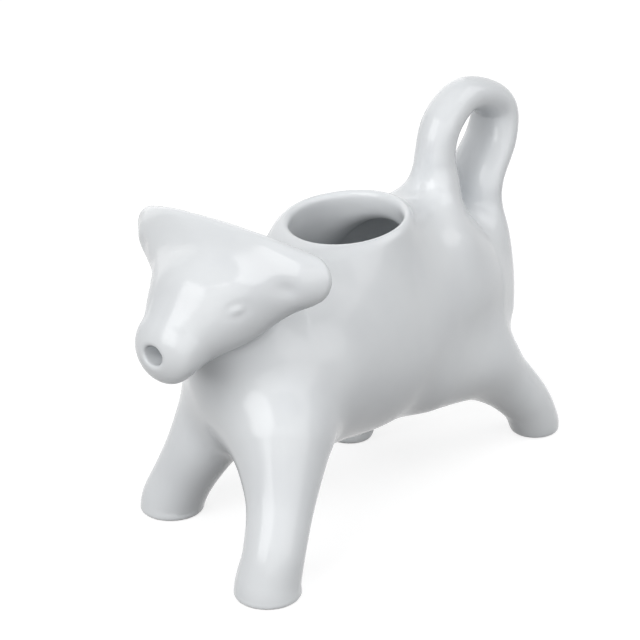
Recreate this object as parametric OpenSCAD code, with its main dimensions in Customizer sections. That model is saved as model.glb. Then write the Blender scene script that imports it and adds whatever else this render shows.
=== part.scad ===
// Cow creamer: a small glazed porcelain jug in the form of a striding cow.
// It is filled through the mouth on its back, held by its looped tail and poured through its muzzle.
// Each piece is shaped by itself and luted to its neighbours, so the pieces meet face to face.
// Z is up and the feet stand on z = 0. The cow looks along -Y and its left side is +X.

/* [Body] */
// Length of the barrel from chest to rump
body_length = 130.2; // [122:0.2:140]
// Width of the barrel at the belly
body_width = 58.6; // [52:0.2:65]
// Height of the barrel at the belly
body_height = 61; // [54:0.5:68]
// Clear height under the belly
belly_clearance = 22.5; // [19:0.5:26]
// Thickness of the pot's wall
wall = 4; // [3:0.25:5]

/* [Mouth] */
// Bore of the filling mouth
mouth_d = 34.8; // [30:0.2:38]
// Thickness of the rolled rim
rim_wall = 4.2; // [3:0.2:5]
// Rise of the middle of the rim above the back
rim_rise = 8; // [6:0.5:11]
// Forward tilt of the rim
rim_tilt = 8.6; // [4:0.2:12]
// How far the collar has flared out halfway down
collar_flare = 3.8; // [3:0.1:5]
// How far the collar's foot stays inside the barrel's widest side
collar_foot_inset = 0.2; // [0:0.1:2]
// Height of the collar from its foot to the rim
collar_height = 34; // [30:0.5:38]

/* [Neck] */
// Thickness of the neck at the head
neck_top_d = 30; // [27:0.5:33]
// Bore of the pouring channel between the pot and the head
channel_d = 12; // [9:0.5:13]

/* [Head] */
// How far the nose reaches ahead of the chest
nose_reach = 24.8; // [22:0.1:29]
// Width of the head at the brow
head_width = 37; // [33:0.2:38]
// Depth of the head at the brow, square to the face
head_depth = 31.4; // [27:0.2:33]
// Width of the muzzle
muzzle_width = 21.4; // [19:0.2:24]
// Depth of the muzzle
muzzle_depth = 19.8; // [17:0.2:22]
// Rise of the crown's middle above the back
crown_rise = 2.5; // [1:0.5:5]
// Fall from the crown's middle to the muzzle's middle
face_fall = 13.6; // [12:0.1:15]
// How far the crown's middle lies behind the nose
crown_setback = 33.5; // [30:0.1:37]
// Bore of the spout in the muzzle
spout_d = 5.6; // [4:0.2:6]
// Rise of the spout above the muzzle's middle
spout_rise = 0.6; // [0:0.1:2]

/* [Ears] */
// Width across both ear tips
ear_span = 75; // [67:0.2:83]
// Height of an ear at its tip
ear_tip_height = 13.4; // [11:0.2:15]
// Thickness of an ear at its tip
ear_tip_thickness = 6.2; // [5:0.2:8]
// Rise of the ear tip above the crown's middle
ear_lift = 8.1; // [6:0.1:10]
// How far the ear tip lies behind the middle of the crest
ear_sweep = 4.3; // [3:0.1:6]
// Height of the crest that carries both ears, at its middle
crest_height = 27.4; // [23:0.2:29]
// Thickness of the crest at its middle
crest_thickness = 15.2; // [13:0.2:17]
// Rise of the crest's middle above the crown's middle
crest_rise = 4.8; // [3:0.1:6]
// How far the crest's middle lies behind the nose
crest_setback = 29; // [26:0.1:32]

/* [Tail handle] */
// Rise of the top of the tail loop above the back
tail_rise = 38.2; // [34:0.2:43]
// Distance between the front and rear strands, middle to middle
tail_depth = 30.5; // [27:0.5:34]
// Thickness of the strand along the cow
tail_thickness = 12.2; // [11:0.2:14]
// Width of the strand across the cow
tail_width = 19; // [16:0.2:22]

/* [Front legs] */
// Distance between the middles of the front feet across the cow
front_stance = 58.5; // [52:0.5:64]
// Width of a front foot
front_foot_d = 20; // [18:0.2:22]
// Narrowest thickness of a front leg
front_shank_d = 18.4; // [16:0.2:21]
// Thickness of a front leg at the shoulder
front_root_d = 32; // [27:0.5:34]
// Rise of the shoulder above the belly's underside
shoulder_rise = 17.5; // [15:0.5:20]
// Distance between the shoulders across the cow
shoulder_spread = 30.6; // [27:0.2:34]
// Step of the left front foot ahead of its shoulder
front_left_step = 19.2; // [16:0.2:22]
// Step of the right front foot ahead of its shoulder
front_right_step = 9.5; // [7:0.5:12]

/* [Hind legs] */
// How far the heel of the trailing foot reaches behind the rump
heel_reach = 11.3; // [9:0.1:14]
// Distance between the middles of the hind feet across the cow
hind_stance = 44.1; // [39:0.1:50]
// Width of a hind foot
hind_foot_d = 15.6; // [14:0.2:18]
// Narrowest thickness of a hind leg
hind_shank_d = 16.4; // [15:0.2:18]
// Thickness of a hind leg at the hip
hind_root_d = 31; // [28:0.5:34]
// Rise of the hip above the belly's underside
hip_rise = 16.5; // [14:0.5:19]
// Distance between the hips across the cow
hip_spread = 23.4; // [20:0.2:27]
// Step of the right hind foot ahead of its hip
hind_right_step = 18.6; // [15:0.2:22]
// Rounding of a foot's lower edge
foot_round = 1.4; // [1:0.1:2]

/* [Hidden] */
// What a cut runs past the face that it opens
overrun = 2;

// Facets: sides of a ring, steps between two rows of a table, steps of a rounded end
body_sides = 32;
limb_sides = 20;
row_steps = 4;
cap_steps = 5;
arc_fn = 72;
lip_steps = 8;

// Places along the length, with the whole cow centred
nose_y = -(nose_reach + body_length + heel_reach) / 2;
chest_y = nose_y + nose_reach;
rump_y = chest_y + body_length;
heel_y = rump_y + heel_reach;
crown_y = nose_y + crown_setback;
crest_y = nose_y + crest_setback;

// Places on the barrel as shares of its length from the chest
mouth_place_share = 0.455;
tail_place_share = 0.7885;
left_shoulder_place_share = 0.0845;
right_shoulder_place_share = 0.1605;
left_hip_place_share = 0.635;
right_hip_place_share = 0.816;
mouth_y = chest_y + body_length * mouth_place_share;
tail_front_y = chest_y + body_length * tail_place_share;
left_shoulder_y = chest_y + body_length * left_shoulder_place_share;
right_shoulder_y = chest_y + body_length * right_shoulder_place_share;
left_hip_y = chest_y + body_length * left_hip_place_share;
right_hip_y = chest_y + body_length * right_hip_place_share;

// Heights above the table
belly_axis = belly_clearance + body_height / 2;
back_height = belly_clearance + body_height;
rim_height = back_height + rim_rise;
crown_height = back_height + crown_rise;
muzzle_height = crown_height - face_fall;
tail_height = back_height + tail_rise;
shoulder_height = belly_clearance + shoulder_rise;
hip_height = belly_clearance + hip_rise;

// Barrel: stations along its straight part, width and height at each, rise of its axis there
station_shares = [0, 0.235, 0.505, 0.79, 1];
girth_width_shares = [0.935, 0.995, 1, 0.945, 0.9];
girth_height_shares = [0.92, 1, 0.985, 1, 0.945];
axis_rise_shares = [-0.049, 0, -0.016, 0.092, 0.045];

// How far the mouth's bore runs into the barrel below the collar
mouth_reach_share = 0.1;
// How much of the collar's flare its inside follows
inner_flare_share = 0.8;

// Neck: how far along, how far up and how much of the taper is done at each row
neck_run_shares = [0, 0.28, 0.66, 0.887, 1];
neck_rise_shares = [0, 0.11, 0.286, 0.614, 1];
neck_taper_shares = [0, 0.02, 0.29, 0.656, 1];
// Neck ends as shares of the barrel's and the head's sizes
neck_root_width_share = 0.94;
neck_root_height_share = 0.903;
neck_root_run_share = 0.347;
neck_root_rise_share = 0.082;
neck_top_drop_share = 0.2;
neck_top_run_share = 0.03;

// Head from crown to muzzle: run, fall, depth and width at each row
head_run_shares = [0, 0.33, 0.534, 0.755, 1];
head_fall_shares = [0, 0.176, 0.42, 0.75, 1];
head_depth_shares = [0.81, 1, 0.86, 0.69];
head_width_shares = [0.83, 1, 0.9, 0.69];
// Depth of the muzzle's blunt end and how far it reaches ahead as it tilts, against a round one
muzzle_end_share = 0.56;
muzzle_reach_share = 0.65;

// Crest from its middle to an ear tip: run, height, thickness, rise and sweep at each row
ear_run_shares = [0, 0.535, 1];
ear_height_shares = [0, 0.42, 1];
ear_thickness_shares = [0, 0.43, 1];
ear_rise_shares = [0, 0.97, 1];
ear_sweep_shares = [0, -0.02, 1];
// Where an ear begins on the crest
ear_seam_share = 0.512;

// Tail loop from the back over the top to the rump, with its root above the barrel's axis
tail_root_rise_share = 0.11;
loop_depth_shares = [-0.06, -0.07, 0.02, 0, 0.105, 0.407, 0.751, 1.016, 0.977, 0.728, 0.682, 0.633, 0.5];
loop_rise_shares = [0, 0.37, 0.5, 0.71, 0.887, 1, 0.982, 0.88, 0.706, 0.501, 0.327, 0.062, -0.16];
loop_thickness_shares = [2.72, 1.8, 1.18, 1.03, 1, 0.9, 0.9, 1, 0.97, 1.02, 1.2, 2.1, 1.7];
loop_width_shares = [2.15, 2.1, 1.15, 0.7, 0.7, 0.71, 0.79, 0.86, 0.98, 1.09, 1.2, 1.5, 1.3];

// Legs from foot to root: height, lean across and along, and how far the leg has swelled
front_left_leg_shares = [[0.1, 0.325, 0.625, 1], [0, 0, 0.36, 1],
                         [0.02, 0.16, 0.54, 1], [0, 0, 0.26, 1]];
front_right_leg_shares = [[0.1, 0.325, 0.625, 1], [0.03, 0.27, 0.64, 1],
                          [0.03, 0.17, 0.42, 1], [0, 0.07, 0.32, 1]];
rear_left_leg_shares = [[0.1, 0.34, 0.63, 0.9, 1], [-0.04, 0.02, 0.33, 0.68, 1],
                        [0.043, 0.149, 0.356, 0.607, 1], [0, 0.04, 0.29, 0.88, 1]];
rear_right_leg_shares = [[0.1, 0.33, 0.64, 1], [0, 0.15, 0.45, 1],
                         [0.107, 0.35, 0.677, 1], [0, 0, 0.31, 1]];
// Ankle between the foot's and the shank's thickness
ankle_share = 0.7;

// Channel: drop below the muzzle's middle in bores, its head end and its pot end
channel_drop_share = 0.3;
channel_head_run_share = 0.845;
channel_pot_run_share = 0.28;

// Plain vector helpers
function unit(v) = v / norm(v);
function mix(a, b, t) = a + (b - a) * t;

// Point of a smooth curve through rows a, b, c, d at share t between b and c
function curve_row(a, b, c, d, t) =
    (2 * b + (c - a) * t + (2 * a - 5 * b + 4 * c - d) * t * t + (3 * b - a - 3 * c + d) * t * t * t) / 2;

// Rows of a smooth curve through every row of a table
function smooth_rows(rows) =
    let (last = len(rows) - 1)
    [for (i = [0:last - 1])
        let (before = i == 0 ? 2 * rows[0] - rows[1] : rows[i - 1],
             after = i == last - 1 ? 2 * rows[last] - rows[last - 1] : rows[i + 2])
        for (s = [0:row_steps - 1]) curve_row(before, rows[i], rows[i + 1], after, s / row_steps),
     rows[last]];

// Direction of travel at each row of a spine
function spine_dirs(spine) =
    let (last = len(spine) - 1)
    [for (i = [0:last]) unit(spine[min(i + 1, last)] - spine[max(i - 1, 0)])];

// Elliptical ring: middle, direction of travel, axis across, half sizes across and along the third axis
function ring(middle, dir, across, half_a, half_b, sides) =
    let (ea = unit(across - dir * (across * dir)), eb = cross(dir, ea))
    [for (i = [0:sides - 1])
        let (turn = 360 * i / sides) middle + ea * half_a * cos(turn) + eb * half_b * sin(turn)];

// Depth of a round end on a ring
function cap_depth(half_a, half_b) = (half_a + half_b) / 2;

// Rings of a limb: each row is [x, y, z, half size across, half size of the third axis].
// A round end adds shrinking rings past the end row, end_share of a round one deep at the last row.
// flat_start keeps the first ring level.
function limb_rings(rows, across, sides, round_start, round_end, flat_start, end_share) =
    let (spine = [for (r = rows) [r.x, r.y, r.z]],
         dirs = spine_dirs(spine),
         last = len(rows) - 1,
         up = [0, 0, 1],
         dir_at = [for (i = [0:last])
             flat_start && i < row_steps ? unit(mix(up, dirs[i], i / row_steps)) : dirs[i]],
         first_cap = cap_depth(rows[0][3], rows[0][4]),
         last_cap = cap_depth(rows[last][3], rows[last][4]) * end_share)
    [if (round_start) for (s = [cap_steps - 1:-1:1])
        let (turn = 90 * s / cap_steps)
        ring(spine[0] - dirs[0] * first_cap * sin(turn), dirs[0], across,
             rows[0][3] * cos(turn), rows[0][4] * cos(turn), sides),
     for (i = [0:last]) ring(spine[i], dir_at[i], across, rows[i][3], rows[i][4], sides),
     if (round_end) for (s = [1:cap_steps - 1])
        let (turn = 90 * s / cap_steps)
        ring(spine[last] + dirs[last] * last_cap * sin(turn), dirs[last], across,
             rows[last][3] * cos(turn), rows[last][4] * cos(turn), sides)];

// End points on which the first and last rings close
function limb_poles(rows, round_start, round_end, end_share) =
    let (spine = [for (r = rows) [r.x, r.y, r.z]],
         dirs = spine_dirs(spine),
         last = len(rows) - 1)
    [spine[0] - (round_start ? dirs[0] * cap_depth(rows[0][3], rows[0][4]) : [0, 0, 0]),
     spine[last] + (round_end ? dirs[last] * cap_depth(rows[last][3], rows[last][4]) * end_share
                              : [0, 0, 0])];

// Closed solid through rings of equal sides, closed by a fan at each pole
module skin(rings, poles) {
    sides = len(rings[0]);
    last = len(rings) - 1;
    points = [poles[0], for (r = rings) each r, poles[1]];
    top = len(points) - 1;
    faces = [
        for (i = [0:sides - 1]) [0, 1 + i, 1 + (i + 1) % sides],
        for (r = [0:last - 1], i = [0:sides - 1])
            let (a = 1 + r * sides + i, b = 1 + r * sides + (i + 1) % sides)
            each [[a, a + sides, b], [b, a + sides, b + sides]],
        for (i = [0:sides - 1]) [top, 1 + last * sides + (i + 1) % sides, 1 + last * sides + i]];
    polyhedron(points = points, faces = faces, convexity = 6);
}

// Limb through a table of rows
module limb(rows, across, sides = limb_sides, round_start = false, round_end = false, end_share = 1) {
    smooth = smooth_rows(rows);
    skin(limb_rings(smooth, across, sides, round_start, round_end, false, end_share),
         limb_poles(smooth, round_start, round_end, end_share));
}

// Barrel as a limb along Y, drawn in all round by inset
module barrel(inset) {
    half_w = body_width / 2;
    half_h = body_height / 2;
    last = len(station_shares) - 1;
    first_cap = cap_depth(half_w * girth_width_shares[0], half_h * girth_height_shares[0]);
    last_cap = cap_depth(half_w * girth_width_shares[last], half_h * girth_height_shares[last]);
    run = body_length - first_cap - last_cap;
    rows = [for (i = [0:last])
        [0, chest_y + first_cap + run * station_shares[i], belly_axis + body_height * axis_rise_shares[i],
         half_w * girth_width_shares[i] - inset, half_h * girth_height_shares[i] - inset]];
    limb(rows, [1, 0, 0], body_sides, round_start = true, round_end = true);
}

// Frame of the mouth: origin in the middle of the rim's top, Z along the tilted bore
module at_mouth() {
    translate([0, mouth_y, rim_height]) rotate([rim_tilt, 0, 0]) children();
}

// How far the collar has flared out at share t of its height: eased from lip to foot, and by its own
// flare halfway down
function collar_reach(t) =
    let (spread = body_width / 2 - collar_foot_inset - mouth_d / 2 - rim_wall)
    spread * t * t * (3 - 2 * t) + (collar_flare - spread / 2) * 4 * t * (1 - t);

// Outline of the collar's outside or inside below the lip, from the lip down; r is the radius at the lip
function collar_side(r, reach_share) = [for (s = [1:lip_steps])
    let (t = s / lip_steps) [r + collar_reach(t) * reach_share, -mix(rim_wall / 2, collar_height, t)]];

// Outside of the collar without its bore, and what is above it
module collar_form() {
    outer_r = mouth_d / 2 + rim_wall;
    at_mouth() rotate_extrude($fn = arc_fn)
        polygon([[0, -collar_height], [0, rim_rise], [outer_r, rim_rise], [outer_r, -rim_wall / 2],
                 each collar_side(outer_r, 1)]);
}

// Way in through the mouth, flaring with the collar down into the pot
module mouth_way() {
    inner_r = mouth_d / 2;
    foot_r = inner_r + collar_reach(1) * inner_flare_share;
    depth = collar_height + body_height * mouth_reach_share;
    at_mouth() rotate_extrude($fn = arc_fn)
        polygon([[0, overrun], [inner_r, overrun], [inner_r, -rim_wall / 2],
                 each collar_side(inner_r, inner_flare_share), [foot_r, -depth], [0, -depth]]);
}

// Neck's form before the barrel and the head are cut from it
module neck_form() {
    root = [0, chest_y + body_length * neck_root_run_share,
            belly_axis + body_height * neck_root_rise_share];
    top = [0, crown_y + crown_setback * neck_top_run_share,
           crown_height - head_depth * neck_top_drop_share];
    rows = [for (i = [0:len(neck_run_shares) - 1])
        [0, mix(root.y, top.y, neck_run_shares[i]), mix(root.z, top.z, neck_rise_shares[i]),
         mix(body_width * neck_root_width_share, neck_top_d, neck_taper_shares[i]) / 2,
         mix(body_height * neck_root_height_share, neck_top_d, neck_taper_shares[i]) / 2]];
    limb(rows, [1, 0, 0], round_end = true);
}

// Skull's form from crown to muzzle
module skull_form() {
    muzzle_y = nose_y + cap_depth(muzzle_width, muzzle_depth) / 2 * muzzle_reach_share;
    last = len(head_run_shares) - 1;
    rows = [for (i = [0:last])
        [0, mix(crown_y, muzzle_y, head_run_shares[i]),
         mix(crown_height, muzzle_height, head_fall_shares[i]),
         (i == last ? muzzle_width : head_width * head_width_shares[i]) / 2,
         (i == last ? muzzle_depth : head_depth * head_depth_shares[i]) / 2]];
    limb(rows, [1, 0, 0], round_start = true, round_end = true, end_share = muzzle_end_share);
}

// Pouring way: a wide level bore from the pot into the neck, and the spout through the muzzle
module pouring_way() {
    head_end = nose_y + crown_setback * channel_head_run_share;
    pot_end = chest_y + body_length * channel_pot_run_share;
    translate([0, pot_end, muzzle_height - channel_d * channel_drop_share]) rotate([90, 0, 0])
        cylinder(d = channel_d, h = pot_end - head_end, $fn = arc_fn);
    translate([0, pot_end, muzzle_height + spout_rise]) rotate([90, 0, 0])
        cylinder(d = spout_d, h = pot_end - nose_y + overrun, $fn = arc_fn);
}

// Row of the crest at a place between its middle and an ear tip; side is 1 for the left, -1 for the right
function crest_row(side, i) =
    [side * (ear_span - ear_tip_height) / 2 * ear_run_shares[i],
     crest_y + ear_sweep * ear_sweep_shares[i],
     crown_height + mix(crest_rise, ear_lift, ear_rise_shares[i]),
     mix(crest_thickness, ear_tip_thickness, ear_thickness_shares[i]) / 2,
     mix(crest_height, ear_tip_height, ear_height_shares[i]) / 2];

// Ring of the crest, shrunk and moved out along X for a round ear tip
function crest_ring(row, shrink, out) =
    ring([row.x + out, row.y, row.z], [1, 0, 0], [0, 1, 0], row[3] * shrink, row[4] * shrink, limb_sides);

// Crest from ear tip to ear tip
module crest_form() {
    tip_row = len(ear_run_shares) - 1;
    tip = ear_tip_height / 2;
    rows = smooth_rows([for (i = [tip_row:-1:1]) crest_row(-1, i),
                        for (i = [0:tip_row]) crest_row(1, i)]);
    last = len(rows) - 1;
    turns = [for (s = [1:cap_steps - 1]) 90 * s / cap_steps];
    rings = [
        for (i = [len(turns) - 1:-1:0]) crest_ring(rows[0], cos(turns[i]), -tip * sin(turns[i])),
        for (r = rows) crest_ring(r, 1, 0),
        for (turn = turns) crest_ring(rows[last], cos(turn), tip * sin(turn))];
    skin(rings, [[rows[0].x - tip, rows[0].y, rows[0].z],
                 [rows[last].x + tip, rows[last].y, rows[last].z]]);
}

// Block that holds everything of an ear beyond its seam
module ear_side(side) {
    seam = ear_span / 2 * ear_seam_share;
    translate([side > 0 ? seam : -seam - ear_span, crest_y - ear_span / 2, crown_height - ear_span / 2])
        cube(ear_span);
}

// Tail loop's form
module tail_form() {
    top_row = search(1, loop_rise_shares)[0];
    root_height = belly_axis + body_height * tail_root_rise_share;
    arch = tail_height - tail_thickness * loop_thickness_shares[top_row] / 2;
    rows = [for (i = [0:len(loop_depth_shares) - 1])
        [0, tail_front_y + tail_depth * loop_depth_shares[i],
         mix(root_height, arch, loop_rise_shares[i]),
         tail_width * loop_width_shares[i] / 2, tail_thickness * loop_thickness_shares[i] / 2]];
    limb(rows, [1, 0, 0]);
}

// Leg from a flat foot to its root inside the barrel, by a table of shares
module leg_form(foot, root, foot_d, shank_d, root_d, shares) {
    sole = [[foot.x, foot.y, 0, foot_d / 2 - foot_round, foot_d / 2 - foot_round],
            [foot.x, foot.y, foot_round, foot_d / 2, foot_d / 2]];
    shaft = [for (i = [0:len(shares[0]) - 1])
        let (d = i == 0 ? mix(shank_d, foot_d, ankle_share) : mix(shank_d, root_d, shares[3][i]))
        [mix(foot.x, root.x, shares[1][i]), mix(foot.y, root.y, shares[2][i]), root.z * shares[0][i],
         d / 2, d / 2]];
    rows = [each sole, each smooth_rows(shaft)];
    skin(limb_rings(rows, [1, 0, 0], limb_sides, false, true, true, 1), limb_poles(rows, false, true, 1));
}

// Front leg; side is 1 for the left and -1 for the right
module front_leg_form(side, shoulder_y, step, shares) {
    leg_form([side * front_stance / 2, shoulder_y - step],
             [side * shoulder_spread / 2, shoulder_y, shoulder_height],
             front_foot_d, front_shank_d, front_root_d, shares);
}

// Hind leg with its hip and its foot at places along the length
module hind_leg_form(side, hip_y, foot_y, shares) {
    leg_form([side * hind_stance / 2, foot_y], [side * hip_spread / 2, hip_y, hip_height],
             hind_foot_d, hind_shank_d, hind_root_d, shares);
}

// Pot: hollow barrel with the filling mouth and the way to the spout
module body_shell() {
    color("whitesmoke") difference() {
        barrel(0);
        barrel(wall);
        mouth_way();
        pouring_way();
    }
}

// Collar round the filling mouth with a rolled lip, seated on the barrel
module mouth_rim() {
    lip_r = rim_wall / 2;
    lip_middle = mouth_d / 2 + lip_r;
    lip = [for (s = [0:lip_steps])
        let (turn = 180 - 180 * s / lip_steps) [lip_middle + lip_r * cos(turn), lip_r * (sin(turn) - 1)]];
    inside = collar_side(mouth_d / 2, inner_flare_share);
    color("white") difference() {
        at_mouth() rotate_extrude($fn = arc_fn)
            polygon([for (i = [len(inside) - 1:-1:0]) inside[i], each lip,
                     each collar_side(mouth_d / 2 + rim_wall, 1)]);
        barrel(0);
    }
}

module neck() {
    color("gainsboro") difference() {
        neck_form();
        barrel(0);
        collar_form();
        skull_form();
        crest_form();
        pouring_way();
    }
}

// Skull with the middle of the crest
module head() {
    color("whitesmoke") difference() {
        union() {
            skull_form();
            crest_form();
        }
        ear_side(1);
        ear_side(-1);
        pouring_way();
    }
}

module left_ear() {
    color("white") intersection() {
        crest_form();
        ear_side(1);
    }
}

module right_ear() {
    color("white") intersection() {
        crest_form();
        ear_side(-1);
    }
}

module tail_handle() {
    color("ghostwhite") difference() {
        tail_form();
        barrel(0);
    }
}

module front_left_leg() {
    color("gainsboro") difference() {
        front_leg_form(1, left_shoulder_y, front_left_step, front_left_leg_shares);
        barrel(0);
        neck_form();
    }
}

module front_right_leg() {
    color("gainsboro") difference() {
        front_leg_form(-1, right_shoulder_y, front_right_step, front_right_leg_shares);
        barrel(0);
        neck_form();
    }
}

module rear_left_leg() {
    color("gainsboro") difference() {
        hind_leg_form(1, left_hip_y, heel_y - hind_foot_d / 2, rear_left_leg_shares);
        barrel(0);
    }
}

module rear_right_leg() {
    color("gainsboro") difference() {
        hind_leg_form(-1, right_hip_y, right_hip_y - hind_right_step, rear_right_leg_shares);
        barrel(0);
    }
}

body_shell();
mouth_rim();
neck();
head();
left_ear();
right_ear();
tail_handle();
front_left_leg();
front_right_leg();
rear_left_leg();
rear_right_leg();
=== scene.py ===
"""Cow creamer in glazed porcelain: one continuous glazed skin, shaped as a field of limbs joined by fillets,
drawn on a lattice and parted into the same pieces as the CAD model. Lengths of the form are in millimetres
in the CAD frame, and each mesh is put into Blender in metres."""
import math

import bpy
import numpy as np
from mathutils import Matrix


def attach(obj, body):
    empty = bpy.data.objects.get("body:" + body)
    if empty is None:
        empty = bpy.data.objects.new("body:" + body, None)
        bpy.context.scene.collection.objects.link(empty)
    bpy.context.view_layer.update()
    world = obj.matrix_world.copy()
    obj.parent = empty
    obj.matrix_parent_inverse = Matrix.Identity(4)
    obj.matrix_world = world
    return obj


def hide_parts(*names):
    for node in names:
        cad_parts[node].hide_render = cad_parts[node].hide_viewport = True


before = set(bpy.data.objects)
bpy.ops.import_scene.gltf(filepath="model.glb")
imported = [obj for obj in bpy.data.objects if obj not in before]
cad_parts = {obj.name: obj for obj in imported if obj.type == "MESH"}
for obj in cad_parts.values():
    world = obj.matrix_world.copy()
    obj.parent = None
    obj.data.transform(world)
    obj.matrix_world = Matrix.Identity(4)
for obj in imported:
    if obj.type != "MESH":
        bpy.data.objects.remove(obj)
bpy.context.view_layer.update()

# Form of the creamer: places and radii in millimetres, in the CAD frame

# Rows of a limb are x, y, z, radius and, where given, the stretch along x, y and z
BARREL = [(0, -32.1, 50, 26.2, .95, 1, 1.05), (0, -14.1, 53, 29, .95, 1, 1.05),
          (0, 6.9, 52.4, 28.3, .95, 1, 1.05), (0, 28.9, 58, 29, .95, 1, 1.05),
          (0, 44.9, 54.6, 25.6, .95, 1, 1.05)]
COLLAR = [(0, 2.9, 52, 26), (0, 1.9, 66, 25), (0, .7, 78, 23), (0, .2, 86, 21.3)]
NECK = [(0, -23.1, 58.5, 25.6), (0, -36.6, 62, 21), (0, -44.6, 72, 17), (0, -48.6, 80, 14)]
SKULL = [(0, -49.6, 86, 12.5, 1.19, 1, 1), (0, -58.7, 84.1, 15, 1.18, 1, 1),
         (0, -64.4, 80.8, 12.5, 1.14, 1, 1), (0, -70.1, 76.2, 10, 1.03, 1, 1),
         (0, -77.3, 71.9, 9.7, 1.1, .6, 1)]
CREST = [(-31, -49.8, 94.1, 6.5, 1, .45, 1), (-16.6, -54.2, 94, 10.1, 1, .5, 1),
         (0, -54.1, 90.8, 13.2, 1, .5, 1), (16.6, -54.2, 94, 10.1, 1, .5, 1),
         (31, -49.8, 94.1, 6.5, 1, .45, 1)]
# Left side only, mirrored to the right: the cheek from brow to ear, the jaw's edge from ear to muzzle, and
# the tail's front root where it spreads into the back
CHEEK = [(13, -58, 89, 6.4), (20.5, -54.9, 91.4, 5.2), (28, -51.9, 92.9, 4, 1, .9, 1)]
JAW = [(26, -51.3, 90.8, 4.3, 1, .7, 1), (13.8, -56.7, 80.7, 4.7), (3, -71.1, 75.3, 6)]
FLARE = [(2.2, 43.2, 91, 4.6), (5.2, 39.8, 83, 6.6), (10, 34.5, 73, 10)]
# The tail from its root in the back, round its loop and down into the rump
TAIL = [(0, 30, 66, 17, 1, 1, 1), (0, 39.5, 73, 12, 1.05, 1, 1), (0, 45, 86.5, 7.9, 1.08, 1, 1),
        (0, 44.4, 99.9, 6.3, 1.06, 1, 1), (0, 47.5, 109.8, 6.1, 1.09, 1, 1),
        (0, 56.7, 116.2, 5.5, 1.22, 1, 1), (0, 67.2, 115.2, 5.5, 1.36, 1, 1),
        (0, 75.3, 109.4, 6.1, 1.34, 1, 1), (0, 74.2, 99.6, 5.9, 1.58, 1, 1),
        (0, 66.5, 88, 6.2, 1.67, 1, 1), (0, 65.1, 78.2, 7.1, 1.6, 1, 1),
        (0, 63.5, 64, 11.8, 1.3, 1, 1), (0, 62, 47, 12.5, 1.43, 1, 1)]
# Legs from foot to root
FRONT_LEFT = [(28.2, -66.5, 0, 10), (28.2, -66.2, 4, 9.6), (28.2, -63.5, 13, 9.1), (24, -56.1, 25, 10.2),
              (16.6, -47.3, 40, 14.9)]
FRONT_RIGHT = [(-30.3, -46.9, 0, 10.1), (-29.8, -46.6, 4, 9.8), (-25.8, -45.3, 13, 9.6),
               (-19.8, -42.9, 25, 10.9), (-14, -37.4, 40, 14.2)]
REAR_LEFT = [(22, 75.5, 0, 7.6), (22.4, 73.3, 4, 8.3), (21.8, 67.9, 13.2, 8.5), (18.6, 57.3, 24.6, 10.3),
             (15, 44.5, 35, 14.6), (11.4, 24.4, 38.4, 15.8)]
REAR_RIGHT = [(-22.1, 29.3, 0, 7.8), (-22.1, 31.3, 4, 7.5), (-20.6, 35.8, 13, 8.1),
              (-17.5, 41.9, 25, 10.5), (-12, 47.9, 40, 15)]
# Hollow of the pot, and its upper end inside the collar
POT = [(0, -30.5, 50.5, 21.5, .98, 1, 1.02), (0, -14.1, 53, 25.4, .96, 1, 1.02),
       (0, 6.9, 52.4, 25, .98, 1, 1.02), (0, 28.9, 58, 25.2, .94, 1, 1.03),
       (0, 44.9, 54.6, 21.5, .95, 1, 1.04)]
POT_TOP = [(0, 2.9, 52, 23), (0, 1.9, 66, 22), (0, 1.6, 81, 18.4)]

# Fillets where limbs are luted together
NECK_FILLET, COLLAR_FILLET, HEAD_FILLET = 10, 12, 3
CREST_FILLET, CHEEK_FILLET, JAW_FILLET = 8, 6, 8
FLARE_FILLET, TAIL_FILLET = 4, 6
LEG_FILLETS = ((FRONT_LEFT, 10), (FRONT_RIGHT, 7), (REAR_LEFT, 9), (REAR_RIGHT, 6))
POT_FILLET, THROAT_FILLET = 6, 1.5
# How softly the skull's balls run into each other
SKULL_SOFT = .3
# Rounding of the edges at the feet, the rim, the pot's mouth and the spout
FOOT_ROUND, RIM_ROUND, POT_ROUND, SPOUT_ROUND = 1.5, 2.6, 2.4, 1.8

# Mouth: middle of the rim, the way square to its tilted plane, and its bore
MOUTH = np.array([0, .9, 91.5])
MOUTH_UP = np.array([0, -math.sin(.15), math.cos(.15)])
MOUTH_BORE = 17.4
# The rim's plane cuts within this distance of the mouth's middle and rises by this slope past it
RIM_REACH, RIM_SLOPE = 25, 1.5
# Throat under the mouth: middle of its height and half its height
THROAT_MIDDLE, THROAT_HALF = 84, 28
# Spout: height, radius, stretch along x and inner end
SPOUT_HEIGHT, SPOUT_RADIUS, SPOUT_STRETCH, SPOUT_END = 72.2, 2.85, 1.2, -33

# Left eye: its middle on the face, the ways along, across and out of it, its half sizes and its relief
EYE = np.array([17.4, -66, 85.4])
EYE_ALONG = np.array([.452, .849, .274])
EYE_ACROSS = np.array([-.42, -.067, .905])
EYE_OUT = np.array([.787, -.524, .325])
EYE_HALF_LENGTH, EYE_HALF_WIDTH = 2.7, 1.7
EYE_RELIEF, EYE_SWELL, EYE_REACH = .5, .25, 5
# Left ear's hollow: its middle on the front of the ear, how far behind that it begins and fades in, and its
# depth and half sizes; then the dimple in it: its place from that middle, depth and half sizes
EAR_HOLLOW = np.array([24, -58.1, 92.5])
EAR_BEHIND, EAR_FADE = 6.5, 4
HOLLOW_DEPTH, HOLLOW_X, HOLLOW_Z = .25, 8, 5
DIMPLE_DEPTH, DIMPLE_X, DIMPLE_Z = .8, 2.9, 2.2
DIMPLE_OUT, DIMPLE_DOWN = 3.9, .6


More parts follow.
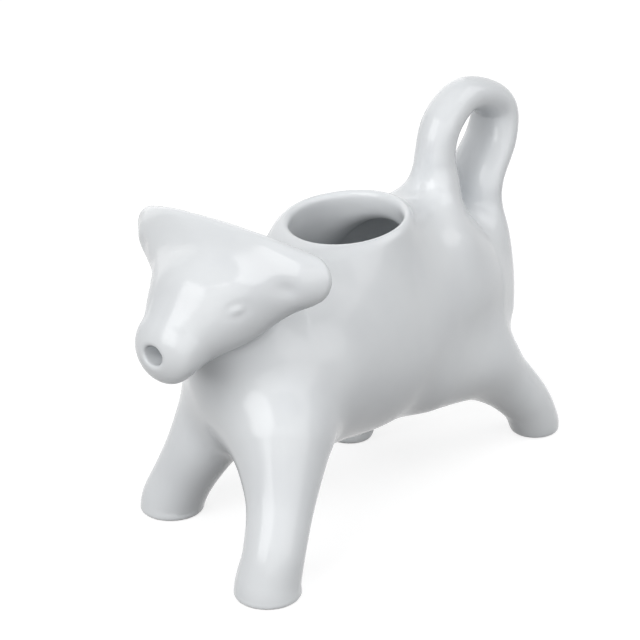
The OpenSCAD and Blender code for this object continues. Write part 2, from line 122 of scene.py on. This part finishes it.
def curve(rows, step):
    """Rows of a Catmull-Rom curve through every given row; step counts rows and may lie between them."""
    rows = np.array([row + (1, 1, 1)[len(row) - 4:] for row in rows], float)
    ends = np.vstack([2 * rows[0] - rows[1], rows, 2 * rows[-1] - rows[-2]])
    i = np.clip(step.astype(int), 0, len(rows) - 2)
    t = (step - i)[:, None]
    a, b, c, d = ends[i], ends[i + 1], ends[i + 2], ends[i + 3]
    return (2 * b + (c - a) * t + (2 * a - 5 * b + 4 * c - d) * t**2 + (3 * b - a - 3 * c + d) * t**3) / 2


def soft_min(a, b, fillet):
    """Smaller of two fields, with a parabola of the given width where they cross, which is a fillet."""
    h = np.maximum(fillet - np.abs(a - b), 0) / fillet
    return np.minimum(a, b) - h * h * fillet / 4


def soft_max(a, b, fillet):
    """Larger of two fields, rounded where they cross."""
    return -soft_min(-a, -b, fillet)


def limb(points, rows, reach=16., fine=6, soft=0):
    """Field of a limb: the least of (distance to a ball's middle, measured with the ball's stretch) less the
    ball's radius, over the balls carried along the limb's smooth curve. The nearest of a few balls is found
    first, and a parabola through it and its neighbours gives the place of the least one between them. With
    soft, the log of the sum of exponentials over all the balls, less what a straight row of them would give,
    rounds the crease inside a bend. Past reach the field is taken as reach."""
    last = (len(rows) - 1) * fine
    balls = curve(rows, np.arange(last + 1) / fine)
    room = balls[:, 3:4] * balls[:, 4:] + reach
    low, high = (balls[:, :3] - room).min(0), (balls[:, :3] + room).max(0)
    near = np.all((points > low) & (points < high), axis=1)
    some = points[near]
    depth = lambda p, b: np.sqrt((((p - b[..., :3]) / b[..., 4:])**2).sum(-1)) - b[..., 3]
    least, place = np.full(len(some), np.inf), np.zeros(len(some), int)
    for i, ball in enumerate(balls):
        value = depth(some, ball)
        closer = value < least
        least[closer], place[closer] = value[closer], i
    middle = np.clip(place, 1, last - 1)
    before, at, after = (depth(some, balls[middle + i]) for i in (-1, 0, 1))
    shift = (before - after) / 2 / np.maximum(before - 2 * at + after, 1e-6)
    step = np.clip(middle + np.clip(shift, -1.5, 1.5), 0, last)
    field = np.full(len(points), reach)
    least = np.minimum(least, depth(some, curve(rows, step / fine)))
    if soft:
        share = sum(np.exp((least - depth(some, ball)) / soft) for ball in balls)
        gap = np.linalg.norm(np.diff(balls[:, :3], axis=0), axis=1).mean()
        least -= soft * np.log(share * gap / np.sqrt(2 * np.pi * soft * balls[:, 3].mean()))
    field[near] = np.minimum(least, reach)
    return field


def left_side(points):
    """The same points, with those on the right mirrored to the left."""
    return np.stack([np.abs(points[:, 0]), points[:, 1], points[:, 2]], -1)


def face_relief(points):
    """How deep the face's details are cut, in millimetres: each eye swells along an oval bell with a
    shallow groove round it, and a bell-shaped hollow in the front of each ear has a dimple at its root."""
    both = left_side(points)
    eye = both - EYE
    round_eye = (eye @ EYE_ALONG / EYE_HALF_LENGTH)**2 + (eye @ EYE_ACROSS / EYE_HALF_WIDTH)**2
    near_eye = np.abs(eye @ EYE_OUT) < EYE_REACH
    groove = EYE_RELIEF * (round_eye - EYE_SWELL) * np.exp(-round_eye)
    ear = both - EAR_HOLLOW
    front = np.clip((EAR_HOLLOW[1] + EAR_BEHIND - both[:, 1]) / EAR_FADE, 0, 1)
    hollow = HOLLOW_DEPTH * np.exp(-(ear[:, 0] / HOLLOW_X)**2 - (ear[:, 2] / HOLLOW_Z)**2)
    out, down = (ear[:, 0] - DIMPLE_OUT) / DIMPLE_X, (ear[:, 2] + DIMPLE_DOWN) / DIMPLE_Z
    dimple = DIMPLE_DEPTH * np.exp(-out**2 - down**2)
    return np.where(near_eye, groove, 0) + front * (hollow + dimple)


def creamer(points):
    """Field of the whole creamer, below zero in the clay: the limbs joined by fillets, the feet cut level,
    the rim cut along its tilted plane, and the pot, the mouth and the spout taken out."""
    x, y, z = points.T
    both = left_side(points)
    body = soft_min(limb(points, BARREL), limb(points, NECK), NECK_FILLET)
    body = soft_min(body, limb(points, COLLAR), COLLAR_FILLET)
    head = soft_min(limb(points, SKULL, soft=SKULL_SOFT), limb(points, CREST), CREST_FILLET)
    head = soft_min(head, limb(both, CHEEK), CHEEK_FILLET)
    head = soft_min(head, limb(both, JAW), JAW_FILLET) + face_relief(points)
    clay = soft_min(body, head, HEAD_FILLET)
    for rows, fillet in LEG_FILLETS:
        clay = soft_min(clay, limb(points, rows), fillet)
    tail = soft_min(limb(points, TAIL), limb(both, FLARE), FLARE_FILLET)
    clay = soft_min(clay, tail, TAIL_FILLET)
    clay = soft_max(clay, -z, FOOT_ROUND)
    across = np.hypot(x, y - MOUTH[1])
    above = (points - MOUTH) @ MOUTH_UP - RIM_SLOPE * np.maximum(across - RIM_REACH, 0)
    clay = soft_max(clay, above, RIM_ROUND)
    pot = soft_min(limb(points, POT), limb(points, POT_TOP), POT_FILLET)
    throat = np.maximum(across - MOUTH_BORE, np.abs(z - THROAT_MIDDLE) - THROAT_HALF)
    clay = soft_max(clay, -soft_min(pot, throat, THROAT_FILLET), POT_ROUND)
    spout = np.hypot(x / SPOUT_STRETCH, z - SPOUT_HEIGHT) - SPOUT_RADIUS
    return soft_max(clay, -np.maximum(spout, y - SPOUT_END), SPOUT_ROUND)


# Skin: the field drawn on a lattice

# Value given to a lattice point that is taken as inside
JUST_INSIDE = -.001


def lattice(low, step, count):
    """Points of a lattice with its low corner, its step and its count of points along x, y and z."""
    axes = [low[i] + step * np.arange(count[i]) for i in range(3)]
    return np.stack(np.meshgrid(*axes, indexing="ij"), -1).reshape(-1, 3)


def sampled(field, low, high, cell, rough=4, doubt=1.8):
    """Field on a lattice of the given cell: taken on every rough-th point first, and again on each point
    that lies near enough to the surface, within doubt rough cells, for the rough value to leave its side in
    doubt."""
    count = np.ceil((high - low) / (cell * rough)).astype(int) + 1
    coarse = field(lattice(low, cell * rough, count)).reshape(count)
    nearest = [(np.arange((n - 1) * rough + 1) + rough // 2) // rough for n in count]
    values = coarse[np.ix_(*nearest)]
    near = np.abs(values) < doubt * rough * cell
    values[near] = field(low + cell * np.argwhere(near))
    return values


def decided(values, turns=2):
    """Sampled field without lattice squares whose corners lie inside and outside by turns, where two sheets
    of the net would meet in one edge: the lesser outside corner of such a square is taken as just inside."""
    for _ in range(turns):
        for side, other in ((0, 1), (1, 2), (2, 0)):
            layers = np.moveaxis(values, (side, other), (0, 1))
            near, far = layers[:-1], layers[1:]
            a, b, c, d = near[:, :-1], near[:, 1:], far[:, 1:], far[:, :-1]
            for p, q, r, t in ((a, b, c, d), (b, c, d, a)):
                mixed = (p < 0) & (r < 0) & (q >= 0) & (t >= 0)
                lesser = mixed & (q <= t)
                q[lesser] = JUST_INSIDE
                t[mixed & ~lesser] = JUST_INSIDE
    return values


def surface_net(values, low, cell):
    """Surface net of a sampled field: each cell with corners on both sides gets one point, the mean of the
    crossings on its edges, and each lattice edge with ends on both sides gets a quad of the four cells
    round it, turned to face outwards."""
    inside = values < 0
    cells = np.array(values.shape) - 1
    corners = np.array([(i, j, k) for i in (0, 1) for j in (0, 1) for k in (0, 1)])
    part = lambda grid, c: grid[c[0]:c[0] + cells[0], c[1]:c[1] + cells[1], c[2]:c[2] + cells[2]]
    filled = sum(part(inside, c).astype(int) for c in corners)
    active = (filled > 0) & (filled < 8)
    number = np.full(cells, -1)
    number[active] = np.arange(active.sum())
    total, crossings = np.zeros((active.sum(), 3)), np.zeros(active.sum())
    for a, b in [(a, b) for a in corners for b in corners if (b - a).sum() == 1 and (b - a).min() == 0]:
        fa, fb = part(values, a)[active], part(values, b)[active]
        crossed = (fa < 0) != (fb < 0)
        share = np.where(crossed, fa / np.where(crossed, fa - fb, 1), 0)
        total += crossed[:, None] * (a + share[:, None] * (b - a))
        crossings += crossed
    points = low + cell * (np.argwhere(active) + total / crossings[:, None])
    quads = []
    for axis in range(3):
        side, other = (axis + 1) % 3, (axis + 2) % 3
        first, second = np.delete(inside, -1, axis), np.delete(inside, 0, axis)
        edge = np.argwhere(first != second)
        around = np.repeat(edge[:, None], 4, 1)
        around[:, [0, 3], side] -= 1
        around[:, [0, 1], other] -= 1
        quad = number[tuple(np.moveaxis(around, -1, 0))]
        turned = ~first[tuple(edge.T)]
        quad[turned] = quad[turned, ::-1]
        quads.append(quad)
    return points, np.vstack(quads)


def slope(field, points, step=.03):
    """Gradient of a field by central differences."""
    shifts = step * np.eye(3)
    return np.stack([field(points + s) - field(points - s) for s in shifts], -1) / (2 * step)


def settled(field, points, cell, turns=2):
    """Points brought onto the zero of the field: each moves by the field's value down its gradient, no more
    than half a cell a turn. Returns the points and the outward normals there."""
    for _ in range(turns):
        g = slope(field, points)
        move = -field(points)[:, None] * g / np.maximum((g**2).sum(1), .05)[:, None]
        far = np.linalg.norm(move, axis=1, keepdims=True)
        points = points + move * np.minimum(1, .5 * cell / np.maximum(far, 1e-9))
    g = slope(field, points)
    return points, g / np.linalg.norm(g, axis=1, keepdims=True)


# Pieces: the skin parted along seams that the glaze hides

# Seam planes: a point of the plane and the way in which the second piece lies
RIM_SEAM = (MOUTH - 4 * MOUTH_UP, MOUTH_UP)
NECK_SEAM = (np.array([0, -45.1, 70]), np.array([0, -.75, .661]))
HEAD_SEAM = (np.array([0, -51.1, 77]), np.array([0, -.6, .8]))
TAIL_SEAM = (np.array([0, 38.9, 94.6]), np.array([0, .5, .866]))
# Width at which the ears begin
EAR_SEAM = 20
# Bounds of the pieces: neck and head end here towards the rear, the tail towards the front, the ears below
# and the legs above; and the skin of the pot's hollow lies this near to it
NECK_BACK, HEAD_BACK, TAIL_FRONT, EAR_LOW, LEG_TOP = -27, -31, 32, 76, 50
POT_SKIN = 1.5
LEGS = {"front_left_leg": FRONT_LEFT, "front_right_leg": FRONT_RIGHT,
        "rear_left_leg": REAR_LEFT, "rear_right_leg": REAR_RIGHT}
PIECES = ["body_shell", "mouth_rim", "neck", "head", "left_ear", "right_ear", "tail_handle", *LEGS]


def past(points, seam):
    """True for the points on the second piece's side of a seam plane."""
    return (points - seam[0]) @ seam[1] > 0


def owners(points):
    """Number of the piece that each point of the skin belongs to: neck, head, rim and tail begin at their
    seam planes, the ears at a width, and the legs where their limb is nearer than the barrel."""
    x, y, z = points.T
    barrel, outer = limb(points, BARREL), limb(points, POT) > POT_SKIN
    owner = np.zeros(len(points), int)
    owner[past(points, NECK_SEAM) & (y < NECK_BACK)] = PIECES.index("neck")
    owner[past(points, HEAD_SEAM) & (y < HEAD_BACK)] = PIECES.index("head")
    head = owner == PIECES.index("head")
    owner[head & (x > EAR_SEAM) & (z > EAR_LOW)] = PIECES.index("left_ear")
    owner[head & (x < -EAR_SEAM) & (z > EAR_LOW)] = PIECES.index("right_ear")
    owner[past(points, RIM_SEAM) & (np.hypot(x, y - MOUTH[1]) < RIM_REACH)] = PIECES.index("mouth_rim")
    owner[past(points, TAIL_SEAM) & (y > TAIL_FRONT)] = PIECES.index("tail_handle")
    for name, rows in LEGS.items():
        owner[outer & (limb(points, rows) < barrel) & (z < LEG_TOP)] = PIECES.index(name)
    return owner


def ring(seam, middle, radius, count):
    """Even points of a circle in a seam plane, begun at the x way."""
    turn = np.linspace(0, 2 * np.pi, count, endpoint=False)[:, None]
    side = np.array([1, 0, 0])
    return middle + radius * (side * np.cos(turn) + np.cross(seam[1], side) * np.sin(turn))


# Points inside the clay on which two pieces' hidden faces close: one for each plain loop of their seam, and
# a ring where a bore runs through it
ANCHORS = {
    ("body_shell", "mouth_rim"): ring(RIM_SEAM, RIM_SEAM[0] + [0, .6, 0], 19.7, 12),
    ("body_shell", "neck"): ring(NECK_SEAM, np.array([0, -42.3, 73.2]), 8, 6),
    ("neck", "head"): ring(HEAD_SEAM, np.array([0, -56.1, 73.2]), 6, 6),
    ("head", "left_ear"): np.array([(EAR_SEAM, -52.5, 93)]),
    ("head", "right_ear"): np.array([(-EAR_SEAM, -52.5, 93)]),
    ("body_shell", "tail_handle"): np.array([(0, 44.9, 91), (0, 66.4, 78.8)]),
    ("body_shell", "front_left_leg"): np.array([(22, -52, 35)]),
    ("body_shell", "front_right_leg"): np.array([(-16, -39, 35)]),
    ("body_shell", "rear_left_leg"): np.array([(14, 44, 34)]),
    ("body_shell", "rear_right_leg"): np.array([(-14, 43, 33)])}


def seams(quads, owner):
    """Edges along which two pieces meet: start and end in the order of the first piece's quad, and the
    numbers of the first and of the second piece."""
    start, end = quads.ravel(), np.roll(quads, -1, 1).ravel()
    piece = np.repeat(owner, 4)
    size = quads.max() + 1
    code, reverse = start * size + end, end * size + start
    order = np.argsort(code)
    other = piece[order][np.searchsorted(code[order], reverse)]
    parted = piece != other
    return start[parted], end[parted], piece[parted], other[parted]


def unpinched(quads, owner, turns=3):
    """Owners with every place mended at which a piece would touch itself by a corner only: the quads round
    a point with more than two seam edges, each of which is met from both its sides, all go to the first of
    their pieces."""
    for _ in range(turns):
        start, end, _, _ = seams(quads, owner)
        pinched = np.bincount(np.concatenate([start, end]), minlength=quads.max() + 1) > 4
        first = np.full(quads.max() + 1, len(PIECES))
        np.minimum.at(first, quads.ravel(), np.repeat(owner, 4))
        owner = np.minimum(owner, np.where(pinched, first, len(PIECES))[quads].min(1))
    return owner


def closed(points, normals, quads, owner, number):
    """One piece of the skin as a closed mesh: every edge on a seam gets a triangle to the seam's anchor that
    lies the same way from the anchors' middle, and one more between two anchors where its ends have
    different ones. Returns points, faces as corners and counts, and a normal for each corner, which on the
    hidden faces is square to the face."""
    start, end, piece, other = seams(quads, owner)
    everything, fans = [points], []
    for names, anchors in ANCHORS.items():
        pair = [PIECES.index(name) for name in names]
        here = (piece == number) & (other == sum(pair) - number) & (number in pair)
        a, b = start[here], end[here]
        middle, before = anchors.mean(0), sum(map(len, everything))
        toward = lambda p: before + np.argmax((points[p] - middle) @ (anchors - middle).T, 1)
        anchor, next_anchor = toward(a), toward(b)
        bridge = anchor != next_anchor
        fans += [np.stack([b, a, anchor], -1), np.stack([b, anchor, next_anchor], -1)[bridge]]
        everything.append(anchors)
    everything, fans, quads = np.vstack(everything), np.vstack(fans), quads[owner == number]
    a, b, c = (everything[fans[:, i]] for i in range(3))
    flat = np.cross(b - a, c - a)
    flat /= np.maximum(np.linalg.norm(flat, axis=1, keepdims=True), 1e-9)
    corners = np.concatenate([quads.ravel(), fans.ravel()])
    used, corners = np.unique(corners, return_inverse=True)
    counts = np.repeat([4, 3], [len(quads), len(fans)])
    return everything[used], corners, counts, np.vstack([normals[quads.ravel()], np.repeat(flat, 3, 0)])


def add_piece(name, points, corners, counts, normals, material):
    """Mesh object of one piece, in metres, with its corners' normals."""
    mesh = bpy.data.meshes.new(name)
    mesh.vertices.add(len(points))
    mesh.vertices.foreach_set("co", (points / 1000).astype(np.float32).ravel())
    mesh.loops.add(len(corners))
    mesh.loops.foreach_set("vertex_index", corners.astype(np.int32))
    mesh.polygons.add(len(counts))
    mesh.polygons.foreach_set("loop_start", (np.cumsum(counts) - counts).astype(np.int32))
    mesh.update(calc_edges=True)
    mesh.validate()
    mesh.polygons.foreach_set("use_smooth", np.ones(len(counts), bool))
    mesh.normals_split_custom_set(normals.astype(np.float32))
    mesh.materials.append(material)
    piece = bpy.data.objects.new(name, mesh)
    bpy.context.scene.collection.objects.link(piece)
    return piece


# Finishes

WHITE = (1, 1, 1, 1)
# Porcelain: its white where the clouds are cool and where they are warm, and bare clay under a foot
COOL_WHITE, WARM_WHITE, BARE_CLAY = (.79, .81, .83, 1), (.83, .85, .865, 1), (.72, .69, .64, 1)
# Heights in metres between which the bare clay of a foot gives way to glaze
BARE_END, GLAZE_START = .00025, .0007
# Floor: how much it lights the object, how much light it shows to the camera, and its own glow there
FLOOR_BOUNCE, FLOOR_SHADE, FLOOR_GLOW = (.06, .06, .06, 1), (.4, .4, .4, 1), .78
# Colour of the light that comes from all round
SKY = (.26, .265, .27, 1)


class Wire:
    """A socket's value in a shader. Operators on it add Math nodes; node() adds any other node."""

    def __init__(self, tree, socket):
        self.tree, self.socket = tree, socket

    def node(self, kind, settings=None, **inputs):
        """New node of a kind, with its settings set first and then its sockets, by name or as _0, _1 by
        place."""
        made = self.tree.nodes.new(kind)
        for key, value in (settings or {}).items():
            setattr(made, key, value)
        for key, value in inputs.items():
            place = int(key[1:]) if key[0] == "_" else key.replace("_", " ")
            if isinstance(value, Wire):
                self.tree.links.new(value.socket, made.inputs[place])
            else:
                made.inputs[place].default_value = value
        return made

    def out(self, made, name=0):
        """Wire from a node's output."""
        return Wire(self.tree, made.outputs[name])

    def math(self, operation, a, b):
        """Wire from a Math node on two values."""
        return self.out(self.node("ShaderNodeMath", {"operation": operation}, _0=a, _1=b))

    def __add__(self, other): return self.math("ADD", self, other)
    def __radd__(self, other): return self.math("ADD", other, self)
    def __sub__(self, other): return self.math("SUBTRACT", self, other)
    def __rsub__(self, other): return self.math("SUBTRACT", other, self)
    def __mul__(self, other): return self.math("MULTIPLY", self, other)
    def __rmul__(self, other): return self.math("MULTIPLY", other, self)

    def between(self, low, high):
        """0 at low, 1 at high, eased between."""
        made = self.node("ShaderNodeMapRange", {"interpolation_type": "SMOOTHSTEP"},
                         Value=self, From_Min=low, From_Max=high)
        return self.out(made)

    def tint(self, first, second):
        """Colour that goes from the first to the second as this value goes from 0 to 1."""
        made = self.node("ShaderNodeMix", {"data_type": "RGBA"}, _0=self, _6=first, _7=second)
        return self.out(made, 2)

    def noise(self, scale, detail, roughness):
        """Noise at this place, of a scale per metre."""
        return self.out(self.node("ShaderNodeTexNoise", Vector=self, Scale=scale, Detail=detail,
                                  Roughness=roughness))

    def seen(self):
        """1 where the camera sees this, directly, in a reflection or through glass, and 0 where it lights."""
        path = self.node("ShaderNodeLightPath")
        ways = (self.out(path, name) for name in ("Is Camera Ray", "Is Glossy Ray", "Is Transmission Ray"))
        camera, glossy, through = ways
        return self.math("MINIMUM", camera + glossy + through, 1.)


def blank(name):
    """Empty node material and a wire to start from, which is the object's own coordinates."""
    material = bpy.data.materials.new(name)
    material.use_nodes = True
    material.node_tree.nodes.clear()
    place = material.node_tree.nodes.new("ShaderNodeTexCoord")
    return material, Wire(material.node_tree, place.outputs["Object"])


def porcelain():
    """White porcelain under a clear gloss glaze: a faint cool cloudiness in the white, a glaze that lies a
    little unevenly and so breaks up its reflections, and bare matt clay where a foot stands."""
    material, place = blank("porcelain glaze")
    height = place.out(place.node("ShaderNodeSeparateXYZ", _0=place), "Z")
    bare = 1 - height.between(BARE_END, GLAZE_START)
    cloud = place.noise(38., 3., .55)
    ripple = place.noise(170., 2., .5)
    grain = place.noise(2600., 2., .6)
    white = cloud.between(.3, .7).tint(COOL_WHITE, WARM_WHITE)
    relief = place.out(place.node("ShaderNodeBump", Strength=.1, Distance=.0001,
                                  Height=ripple * .7 + grain * bare * .5))
    gloss = place.node("ShaderNodeBsdfPrincipled", Base_Color=bare.tint(white, BARE_CLAY),
                       Roughness=.15 + bare * .43 + cloud * .05, Normal=relief)
    gloss.inputs["IOR"].default_value = 1.5
    place.node("ShaderNodeOutputMaterial", Surface=place.out(gloss))
    return material


def floor_finish():
    """Pale floor that lights the object as a diffuse surface, and that looks white with a soft shadow."""
    material, place = blank("pale floor")
    matt = place.out(place.node("ShaderNodeBsdfDiffuse", Color=FLOOR_BOUNCE))
    shade = place.out(place.node("ShaderNodeBsdfDiffuse", Color=FLOOR_SHADE))
    glow = place.out(place.node("ShaderNodeEmission", Color=WHITE, Strength=FLOOR_GLOW))
    white = place.out(place.node("ShaderNodeAddShader", _0=shade, _1=glow))
    both = place.out(place.node("ShaderNodeMixShader", _0=place.seen(), _1=matt, _2=white))
    place.node("ShaderNodeOutputMaterial", Surface=both)
    return material


# Build

# Lattice: its cell and its low and high corners, just outside the creamer
CELL = .8
LOW, HIGH = np.array([-40.7, -89.4, -1.9]), np.array([41., 90, 125])
net_points, net_quads = surface_net(decided(sampled(creamer, LOW, HIGH, CELL)), LOW, CELL)
skin_points, skin_normals = settled(creamer, net_points, CELL)
owner = unpinched(net_quads, owners(skin_points[net_quads].mean(1)))
glaze = porcelain()
for number, name in enumerate(PIECES):
    skin = closed(skin_points, skin_normals, net_quads, owner, number)
    piece = add_piece(name + "_glazed", *skin, glaze)
    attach(piece, "root")
    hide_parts(name)


# Stage

# Soft lights: place, size in metres and watts; all look at the middle of the creamer
LIGHTS = {"key": ((-.1, -1.9, 1.15), 1.6, 25), "front": ((1.5, -1.6, .75), 1.8, 11),
          "right": ((2.1, -.1, .8), 1.6, 10), "rear": ((1.1, 1.1, 1.8), 1.6, 12),
          "back": ((-2., .9, .9), 2.4, 12)}
LIGHT_AIM = (0, 0, .06)
FLOOR_HALF = 3
# Camera: place in metres, degrees that it looks down and is turned, and its lens in millimetres
CAMERA_PLACE, CAMERA_DOWN, CAMERA_TURN = (.37096, -.43671, .29579), 22.60, 41.08
CAMERA_LENS, CAMERA_SENSOR = 112.5, 36


def area_light(name, place, size, watts):
    """Square soft light at a place, turned to the lights' aim."""
    lamp = bpy.data.lights.new(name, "AREA")
    lamp.size, lamp.energy = size, watts
    light = bpy.data.objects.new(name, lamp)
    light.location = place
    way = np.array(LIGHT_AIM) - place
    yaw = math.atan2(-way[0], way[1])
    pitch = math.atan2(math.hypot(way[0], way[1]), -way[2])
    light.rotation_euler = (pitch, 0, yaw)
    bpy.context.scene.collection.objects.link(light)


sheet = bpy.data.meshes.new("floor")
sheet.from_pydata([(-FLOOR_HALF, -FLOOR_HALF, 0), (FLOOR_HALF, -FLOOR_HALF, 0),
                   (FLOOR_HALF, FLOOR_HALF, 0), (-FLOOR_HALF, FLOOR_HALF, 0)], [], [(0, 1, 2, 3)])
sheet.materials.append(floor_finish())
floor = bpy.data.objects.new("floor", sheet)
bpy.context.scene.collection.objects.link(floor)

for name, (place, size, watts) in LIGHTS.items():
    area_light(name, place, size, watts)

world = bpy.data.worlds.new("studio")
world.use_nodes = True
world.node_tree.nodes.clear()
sky = Wire(world.node_tree, None)
backdrop = sky.node("ShaderNodeBackground", Color=sky.seen().tint(SKY, WHITE), Strength=1.)
sky.node("ShaderNodeOutputWorld", Surface=sky.out(backdrop))
bpy.context.scene.world = world

lens = bpy.data.cameras.new("camera")
lens.lens, lens.sensor_width = CAMERA_LENS, CAMERA_SENSOR
camera = bpy.data.objects.new("camera", lens)
camera.location = CAMERA_PLACE
camera.rotation_euler = (math.radians(90 - CAMERA_DOWN), 0, math.radians(CAMERA_TURN))
bpy.context.scene.collection.objects.link(camera)
bpy.context.scene.camera = camera
bpy.context.scene.view_settings.view_transform = "Standard"
